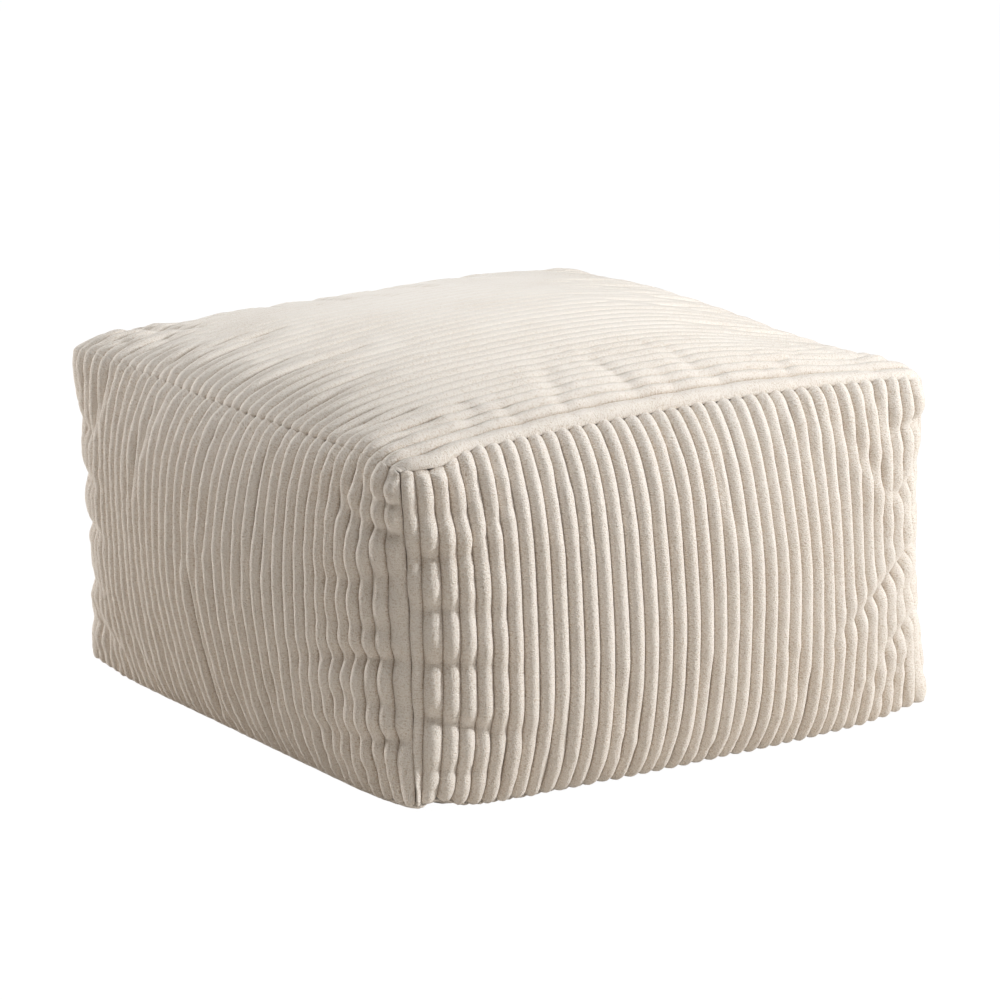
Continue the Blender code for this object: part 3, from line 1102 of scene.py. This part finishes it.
def pile_group():
    tree = bpy.data.node_groups.new("corduroy_pile", "ShaderNodeTree")
    for name, kind in PILE_INPUTS.items():
        add_socket(tree, name, kind)
    for name, kind in PILE_OUTPUTS.items():
        add_socket(tree, name, kind, in_out="OUTPUT")
    given = tree.nodes.new("NodeGroupInput").outputs
    step = partial(calculate, tree)
    stretched = step("MULTIPLY", given["Cloth Place"], ROW_STRETCH, kind="ShaderNodeVectorMath")
    rows = noise_at(tree, stretched, ROW_SCALE, detail=1.5)
    speckle = noise_at(tree, given["Place"], PILE_SCALE, detail=2.0)
    brushed = noise_at(tree, given["Place"], BRUSH_SCALE, detail=2.5)
    along = add_node(tree, "ShaderNodeSeparateXYZ", Vector=given["Cloth Place"]).outputs["Y"]
    wave = step("SINE", step("MULTIPLY", along, 2.0 * math.pi / DOT_SPACING))
    dots = step("MULTIPLY_ADD", wave, 0.5, 0.5)

    # Painted shade: the colour turns towards the root colour in the valleys, where the wales shade each
    # other. Where a mesh has no raised wales, as on the bag and on the lining side of each panel, wale_rise
    # is 0 and all of it gets this shade.
    valley = ramp(tree, given["Rise"], *VALLEY_RISE)
    ground = ramp(tree, given["Rise"], *SHADOW_DOT_RISE)
    tuft = step("ADD", step("MULTIPLY", rows, TUFT_ROWS), step("MULTIPLY", speckle, TUFT_SPECKLE))
    grain = step("MULTIPLY", step("SUBTRACT", TUFT_MIDDLE, tuft), TUFT_CONTRAST)
    grain_and_valley_shade = step("MULTIPLY_ADD", grain, given["Speckle"], step("MULTIPLY", valley, VALLEY_SHADE))
    brush = step("MULTIPLY", step("SUBTRACT", 0.5, brushed), BRUSH_CONTRAST)
    share = step("ADD", grain_and_valley_shade, brush, use_clamp=True)
    colour = mixed_colour(tree, share, given["Tip Colour"], given["Root Colour"])
    # Painted shadow: a dark brown at the bottom of each valley, stronger in a row of dots along it.
    painted_dot_shadow = step("MULTIPLY", ground, step("MULTIPLY_ADD", dots, DOT_SHARE, EVEN_SHADOW_SHARE))
    colour = mixed_colour(tree, painted_dot_shadow, colour, SHADOW_DOT_COLOUR)
    row_height = step("MULTIPLY", rows, HEIGHT_OF_ROWS)
    height = step("ADD", step("MULTIPLY", speckle, HEIGHT_OF_SPECKLE), row_height)
    put_out(tree, colour, height, step("MULTIPLY_ADD", tuft, ROUGHNESS_OF_TUFTS, ROUGHNESS))
    return tree


PILE_GROUP = pile_group()
print("corduroy_pile has", len(PILE_GROUP.nodes), "nodes")

# %% [markdown]
# ## The two cloths
#
# The corduroy is a warm cream, and its pile scatters light at a flat angle, which is what sheen stands for.
# The plain inner cloth shows only as a thin line deep in a seam. It is a little browner, but not dark: the
# threads and pile that fill a real seam keep it pale.

# %% Cloth materials
# The root colour is the pile's darker random grain, and also the colour of the painted shade in the valleys.
CORDUROY = dict(
    name="cream_corduroy",
    tip=(0.862, 0.792, 0.720, 1.0),
    root=(0.590, 0.460, 0.340, 1.0),
    speckle=0.70,
    bump=0.75,
    bump_distance=0.0022,
    sheen=0.4,
)
# The bag has no wale_rise, so the pile group paints its valley shade and shadow dots over all of this cloth.
INNER_CLOTH = dict(
    name="inner_cloth",
    tip=(0.800, 0.690, 0.570, 1.0),
    root=(0.620, 0.500, 0.380, 1.0),
    speckle=0.20,
    bump=0.30,
    bump_distance=0.0005,
    sheen=0.10,
)
SHEEN_ROUGHNESS = 0.45
CLOTH_SPECULAR = 0.25


def cloth_material(finish):
    material = bpy.data.materials.new(finish["name"])
    material.use_nodes = True
    tree = material.node_tree
    cloth_place, rise, left = (
        add_node(tree, "ShaderNodeAttribute", dict(attribute_name=name)).outputs
        for name in ("cloth_place", "wale_rise", "pile_left")
    )
    pile = add_node(
        tree,
        "ShaderNodeGroup",
        dict(node_tree=PILE_GROUP),
        Cloth_Place=cloth_place["Vector"],
        Place=add_node(tree, "ShaderNodeTexCoord").outputs["Object"],
        Rise=rise["Fac"],
        Tip_Colour=finish["tip"],
        Root_Colour=finish["root"],
        Speckle=calculate(tree, "MULTIPLY", left["Fac"], finish["speckle"]),
    ).outputs
    bump = add_node(
        tree,
        "ShaderNodeBump",
        Height=pile["Height"],
        Strength=calculate(tree, "MULTIPLY", left["Fac"], finish["bump"]),
        Distance=finish["bump_distance"],
    )
    feed(
        tree,
        node_of(tree, "BSDF_PRINCIPLED"),
        Base_Color=pile["Colour"],
        Roughness=pile["Roughness"],
        Normal=bump.outputs[0],
        Sheen_Weight=finish["sheen"],
        Sheen_Roughness=SHEEN_ROUGHNESS,
        Specular_IOR_Level=CLOTH_SPECULAR,
    )
    return material


corduroy = cloth_material(CORDUROY)
inner_cloth = cloth_material(INNER_CLOTH)
print("materials:", corduroy.name, inner_cloth.name)

# %% [markdown]
# ## Making the panels
#
# Each panel goes through the same steps: its closed sheet, the wales on it, and back to a plain mesh, which
# keeps the attributes that the pile reads. Then it takes the place of its solid in the frame, rides on the
# stool's only body, and the size of the cloth that was cut for it is measured.


# %% Dress the six panels
CUT_STEPS = 161


def flat_cut(panel):
    """The panel's widest width, longest length and area, measured along its cloth from seam to seam."""
    grid = shaped_grid(panel, *even_grid(CUT_STEPS, CUT_STEPS))[0]
    width = lengths(np.diff(grid, axis=1)).sum(axis=1).max()
    length = lengths(np.diff(grid, axis=0)).sum(axis=0).max()
    one_way, other_way = grid[1:, 1:] - grid[:-1, :-1], grid[1:, :-1] - grid[:-1, 1:]
    return (width, length), lengths(np.cross(one_way, other_way)).sum() / 2.0


def make_plain(piece):
    """Swaps a piece's mesh for what its modifiers make of it, and removes the modifiers."""
    graph = bpy.context.evaluated_depsgraph_get()
    made = bpy.data.meshes.new_from_object(piece.evaluated_get(graph))
    piece.modifiers.clear()
    piece.data = made


def print_triangles(piece):
    piece.data.calc_loop_triangles()
    print(piece.name, len(piece.data.loop_triangles), "triangles")


def dress_panel(panel, seed):
    name = panel["name"]
    piece = put_in_scene("corduroy_" + name, panel_mesh(panel))
    modifier = piece.modifiers.new("raise_wales", "NODES")
    modifier.node_group = WALE_TREE
    modifier[WALE_INPUTS["Seed"]] = float(seed)
    modifier[WALE_INPUTS["Cloth"]] = corduroy
    make_plain(piece)
    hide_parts(name)
    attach(piece, "root")
    size, area = flat_cut(panel)
    print(piece.name, "was cut to %.3f x %.3f m, %.4f square metres" % (*size, area))
    return piece


for number, panel in enumerate(PANELS.values()):
    print_triangles(dress_panel(panel, number))

# %% [markdown]
# The filled body is the padded piece that carries the panels. It takes the same creases and gathers, one
# layer further in, so no panel lies off it or goes into it.

# %% The filled body
body = put_in_scene("filled_bag", bag_of_grids()[0])
body.data.materials.append(inner_cloth)
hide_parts("filled_body")
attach(body, "root")
print_triangles(body)

# %% [markdown]
# ## The floor
#
# A studio floor is pale and even. Light strong enough for that would also fill the valleys of the corduroy,
# so what the camera sees of the floor is mostly glow, which only its own rays get.

# %% Floor
FLOOR_SIZE = 30.0
FLOOR_DROP = 0.0006
FLOOR_FINISH = dict(Base_Color=(0.78, 0.735, 0.68, 1.0), Roughness=0.9, Specular_IOR_Level=0.0)
FLOOR_GLOW = 1.07
FLOOR_GLOW_SHARE = 0.93


def make_floor():
    half = FLOOR_SIZE / 2.0
    corners = points_of((-half, half, half, -half), (-half, -half, half, half), -FLOOR_DROP)
    floor = put_in_scene("floor", mesh_of("floor", corners, [(0, 1, 2, 3)]))
    material = bpy.data.materials.new("pale_floor")
    material.use_nodes = True
    tree = material.node_tree
    shader = node_of(tree, "BSDF_PRINCIPLED")
    feed(tree, shader, **FLOOR_FINISH)
    glow = add_node(tree, "ShaderNodeEmission", Strength=FLOOR_GLOW)
    seen = calculate(tree, "MULTIPLY", add_node(tree, "ShaderNodeLightPath").outputs[0], FLOOR_GLOW_SHARE)
    blend = add_node(tree, "ShaderNodeMixShader", Fac=seen)
    tree.links.new(shader.outputs[0], blend.inputs[1])
    tree.links.new(glow.outputs[0], blend.inputs[2])
    feed(tree, node_of(tree, "OUTPUT_MATERIAL"), Surface=blend.outputs[0])
    floor.data.materials.append(material)
    floor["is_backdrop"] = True


make_floor()

# %% [markdown]
# ## The lights
#
# A small key from the right draws the wales of the front panel, a low light from behind on the left puts a
# thin bright edge on those of the left panel, and a broad one overhead is for the crown.

# %% Lights
LIGHTS = (
    dict(name="key", azimuth=48, elevation=21.5, distance=3.2, size=0.5, power=87, colour=(0.95, 0.98, 1.0)),
    dict(name="edge", azimuth=-148, elevation=8, distance=2.8, size=0.5, power=50, colour=(1.0, 0.99, 0.98)),
    dict(name="crown", azimuth=0, elevation=78, distance=2.8, size=2.2, power=40, colour=(0.92, 0.965, 1.0)),
)
WORLD_LIGHT = dict(Color=(1.0, 0.93, 0.84, 1.0), Strength=0.17)


def make_light(name, size, power, colour, **bearing):
    light = bpy.data.lights.new(name, "AREA")
    light.shape = "DISK"
    light.size, light.energy, light.color = size, power, colour
    face_stool(put_in_scene(name, light), **bearing)


def make_world():
    world = bpy.data.worlds.new("studio")
    world.use_nodes = True
    feed(world.node_tree, node_of(world.node_tree, "BACKGROUND"), **WORLD_LIGHT)
    bpy.context.scene.world = world


make_world()
for row in LIGHTS:
    make_light(**row)
bpy.context.scene.view_settings.view_transform = "Standard"
print("lights:", ", ".join(row["name"] for row in LIGHTS))

# %% [markdown]
# ## Sizes and the last line
#
# The dressed stool has to keep the frame's size, so both boxes are written down side by side.

# %% Sizes
visual_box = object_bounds()
for axis, cad_low, cad_high, low, high in zip("XYZ", *cad_box, *visual_box):
    print(axis, "frame", round(cad_high - cad_low, 4), "dressed", round(high - low, 4))
